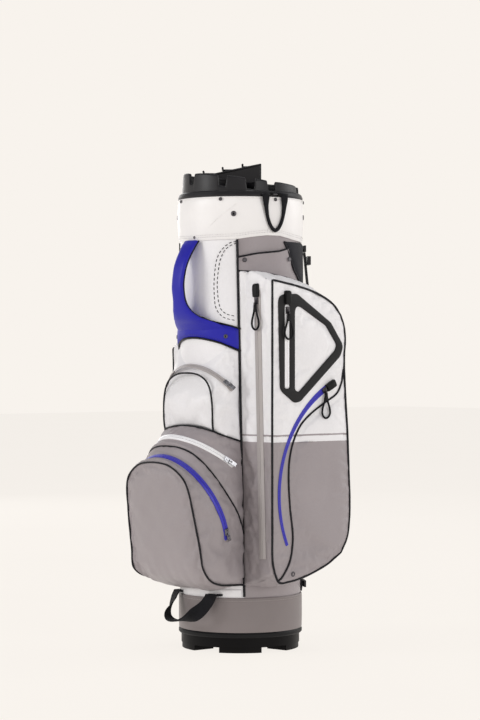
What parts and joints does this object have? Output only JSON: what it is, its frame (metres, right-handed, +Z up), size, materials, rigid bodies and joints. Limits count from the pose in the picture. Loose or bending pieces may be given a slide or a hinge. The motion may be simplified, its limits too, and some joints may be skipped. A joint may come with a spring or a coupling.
{
  "type": "golf cart bag",
  "caption": "Upright cart golf bag: round tube on a moulded base, stepped club organizer, stacked front pockets, side pockets, handles, sealed zips and carry strap.",
  "frame": {"origin": "centre of the moulded base on the ground, on the axis of the tube", "axes": "+Z up along the tube, -Y towards the front ball pocket, +X towards the large side pocket"},
  "size_m": [0.3404, 0.3338, 0.897],
  "materials": {
    "base_plastic": "moulded satin black",
    "base_foam": "matt foam",
    "trim_rubber": "satin",
    "band_leatherette": "smooth coated, taupe grey",
    "tube_fabric": "coated, white",
    "collar_leatherette": "smooth coated, white",
    "rim_plastic": "moulded satin black",
    "divider_fabric": "brushed polyester",
    "rod_steel": "drawn",
    "hardware": "dark nickel",
    "handle_leatherette": "soft coated, blue violet",
    "back_mesh": "padded air mesh, black",
    "pocket_white": "sealed coated fabric, white",
    "pocket_grey": "sealed coated fabric, taupe grey",
    "weld_rubber": "welded satin film",
    "garage_plastic": "moulded matt black",
    "zip_blue": "sealed tape, blue violet",
    "zip_white": "sealed tape, white",
    "zip_grey": "sealed tape, grey",
    "webbing": "woven polypropylene, black",
    "strap_foam": "padded mesh, black",
    "buckle_plastic": "moulded satin black",
    "slider_metal": "gunmetal",
    "pull_cord": "black cord in a moulded sleeve"
  },
  "bodies": {
    "bag": {"base_tray": "base_plastic", "base_pad": "base_foam", "base_socket": "base_plastic", "base_trim_ring": "trim_rubber", "base_band": "band_leatherette", "tube_shell": "tube_fabric", "collar_band": "collar_leatherette", "rim_ring": "rim_plastic", "organizer_wall": "rim_plastic", "organizer_grid": "rim_plastic", "divider_panels": "divider_fabric", "stiffener_rods": "rod_steel", "rim_screws": "hardware", "collar_rivets": "hardware", "front_handle": "handle_leatherette", "handle_rivets": "hardware", "back_panel": "back_mesh", "pocket_ball": "pocket_grey", "pocket_mid": "pocket_grey", "pocket_upper": "pocket_white", "pocket_right": "pocket_white", "pocket_left": "pocket_grey", "slip_pocket": "pocket_grey", "slip_snaps": "hardware", "drain_eyelet": "hardware", "weld_frame": "weld_rubber", "zip_garages": "garage_plastic", "zip_ball": "zip_blue", "zip_mid": "zip_white", "zip_upper": "zip_grey", "zip_long": "zip_grey", "zip_frame": "zip_white", "zip_curve": "zip_blue", "zip_left": "zip_grey", "strap_webbing": "webbing", "strap_pad": "strap_foam", "strap_buckles": "buckle_plastic", "strap_anchors": "buckle_plastic", "side_handle": "webbing", "side_handle_plates": "buckle_plastic", "rim_lugs": "base_plastic", "base_handle_ends": "webbing"},
    "rim_handle": {"rim_handle": "webbing"},
    "base_handle": {"base_handle": "webbing"},
    "slider_ball": {"slider_ball": "slider_metal"},
    "slider_mid": {"slider_mid": "slider_metal"},
    "slider_upper": {"slider_upper": "slider_metal"},
    "slider_long": {"slider_long": "slider_metal"},
    "slider_frame": {"slider_frame": "slider_metal"},
    "slider_curve": {"slider_curve": "slider_metal"},
    "slider_left": {"slider_left": "slider_metal"},
    "pull_ball": {"pull_ball": "slider_metal"},
    "pull_mid": {"pull_mid": "slider_metal"},
    "pull_upper": {"pull_upper": "slider_metal"},
    "pull_long": {"pull_long": "pull_cord"},
    "pull_frame": {"pull_frame": "pull_cord"},
    "pull_curve": {"pull_curve": "pull_cord"},
    "pull_left": {"pull_left": "pull_cord"}
  },
  "joints": [
    {"name": "ball_zip_slide", "type": "hinge", "parent": "bag", "child": "slider_ball", "pos_m": [0, -0.141, 0.254], "axis": [0, -0.91, -0.4147], "range_deg": [0, 210]},
    {"name": "ball_pull_hinge", "type": "hinge", "parent": "slider_ball", "child": "pull_ball", "pos_m": [0.11739, -0.12624, 0.22161], "axis": [0, -0.91, -0.4147], "range_deg": [0, 140]},
    {"name": "mid_zip_slide", "type": "hinge", "parent": "bag", "child": "slider_mid", "pos_m": [0, -0.083, 0.33], "axis": [0, -0.6211, -0.7837], "range_deg": [0, 138]},
    {"name": "mid_pull_hinge", "type": "hinge", "parent": "slider_mid", "child": "pull_mid", "pos_m": [0.10301, -0.11063, 0.3519], "axis": [0, -0.6211, -0.7837], "range_deg": [0, 140]},
    {"name": "upper_zip_slide", "type": "hinge", "parent": "bag", "child": "slider_upper", "pos_m": [0, -0.0652, 0.4307], "axis": [0, -0.849, -0.5284], "range_deg": [0, 100]},
    {"name": "upper_pull_hinge", "type": "hinge", "parent": "slider_upper", "child": "pull_upper", "pos_m": [0.0909, -0.10275, 0.49102], "axis": [0, -0.849, -0.5284], "range_deg": [0, 140]},
    {"name": "long_zip_slide", "type": "slide", "parent": "bag", "child": "slider_long", "axis": [0.0323, 0, -0.9995], "range_m": [0, 0.4562]},
    {"name": "long_pull_hinge", "type": "hinge", "parent": "slider_long", "child": "pull_long", "pos_m": [0.13113, -0.0756, 0.636], "axis": [-0.9995, 0, -0.0323], "range_deg": [0, 140]},
    {"name": "frame_zip_slide", "type": "slide", "parent": "bag", "child": "slider_frame", "axis": [0, 0, -1], "range_m": [0, 0.133]},
    {"name": "frame_pull_hinge", "type": "hinge", "parent": "slider_frame", "child": "pull_frame", "pos_m": [0.1796, -0.037, 0.619], "axis": [0, -1, 0], "range_deg": [0, 140]},
    {"name": "curve_zip_slide", "type": "hinge", "parent": "bag", "child": "slider_curve", "pos_m": [0.174, 0.165, 0.29], "axis": [1, 0, 0], "range_deg": [0, 82]},
    {"name": "curve_pull_hinge", "type": "hinge", "parent": "slider_curve", "child": "pull_curve", "pos_m": [0.1796, 0.05334, 0.47556], "axis": [0, -1, 0], "range_deg": [0, 140]},
    {"name": "left_zip_slide", "type": "slide", "parent": "bag", "child": "slider_left", "axis": [0, 0, -1], "range_m": [0, 0.308]},
    {"name": "left_pull_hinge", "type": "hinge", "parent": "slider_left", "child": "pull_left", "pos_m": [-0.1556, 0.008, 0.508], "axis": [0, 1, 0], "range_deg": [0, 140]},
    {"name": "rim_loop_hinge", "type": "hinge", "parent": "bag", "child": "rim_handle", "pos_m": [0.11903, -0.01673, 0.836], "axis": [-0.1392, -0.9903, 0], "range_deg": [0, 165]},
    {"name": "base_loop_hinge", "type": "hinge", "parent": "bag", "child": "base_handle", "pos_m": [0, -0.111, 0.106], "axis": [-1, 0, 0], "range_deg": [-26, 36]}
  ]
}
